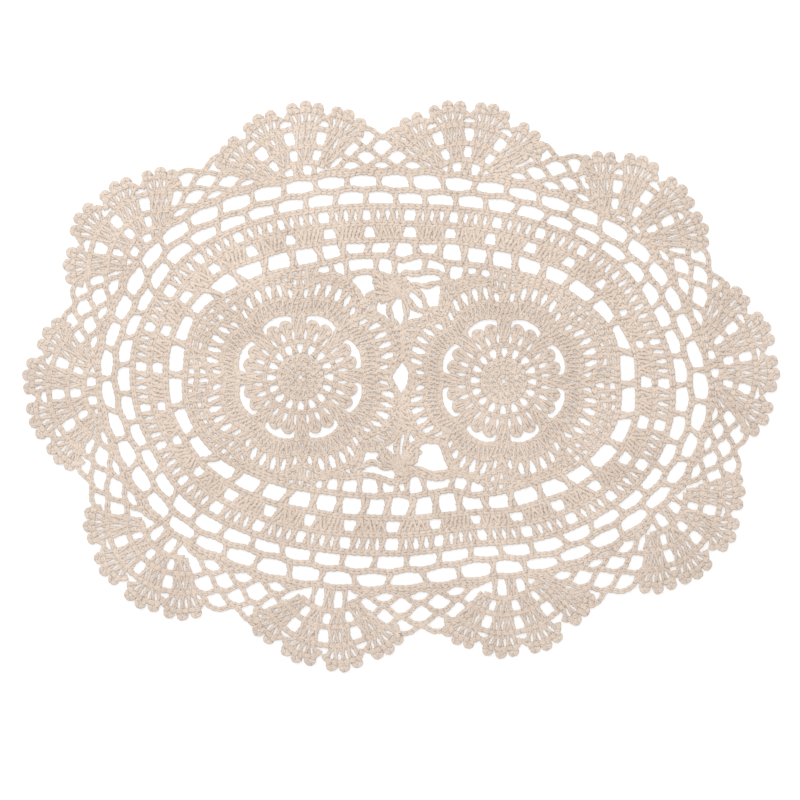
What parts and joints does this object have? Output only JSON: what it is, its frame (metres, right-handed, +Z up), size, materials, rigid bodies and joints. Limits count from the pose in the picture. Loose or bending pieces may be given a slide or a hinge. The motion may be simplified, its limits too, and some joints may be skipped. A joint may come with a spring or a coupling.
{
  "type": "lace doily",
  "caption": "Oval openwork crochet doily lying flat: two joined medallions, mesh and solid bands, and an edging of fans with picots.",
  "frame": {"origin": "middle of the doily's bounding box, on the surface it lies on", "axes": "+X along the longer side, +Y along the shorter side, +Z up out of the surface"},
  "size_m": [0.3974, 0.3003, 0.002],
  "materials": {
    "cotton_thread": "matt twisted cotton"
  },
  "bodies": {
    "root": {"doily": "cotton_thread"}
  },
  "joints": []
}
